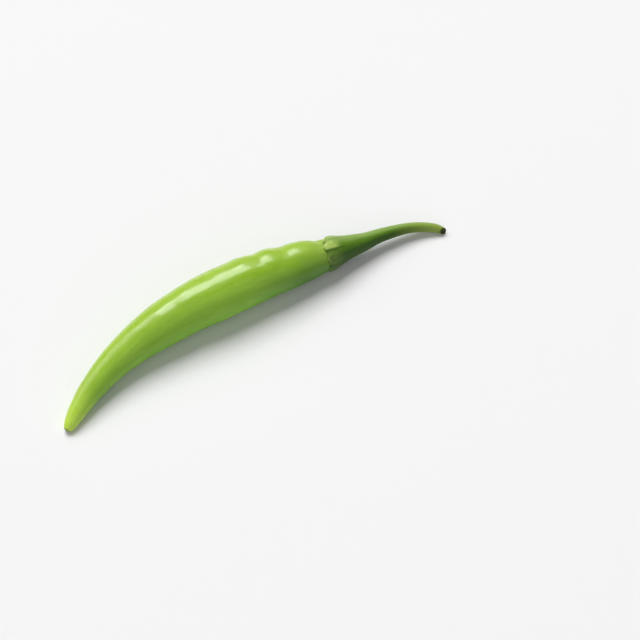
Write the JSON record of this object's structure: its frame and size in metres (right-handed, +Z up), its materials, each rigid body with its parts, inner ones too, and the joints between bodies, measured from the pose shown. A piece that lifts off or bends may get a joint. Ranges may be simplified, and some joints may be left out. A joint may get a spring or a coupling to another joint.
{
  "type": "chili pepper",
  "caption": "Long curved green finger chilli as picked, lying on its side, with a tapering glossy pod, a green calyx cap and a cut stem.",
  "frame": {"origin": "middle of the footprint on the surface that the chilli lies on", "axes": "+X from the pod's tip to the cut end of the stem, +Y to the side that the pod bulges to, +Z up"},
  "size_m": [0.1318, 0.022, 0.0154],
  "materials": {
    "pod_skin": "gloss",
    "calyx_green": "satin",
    "stem_green": "satin"
  },
  "bodies": {
    "root": {"pod": "pod_skin", "calyx": "calyx_green", "stem": "stem_green"}
  },
  "joints": []
}
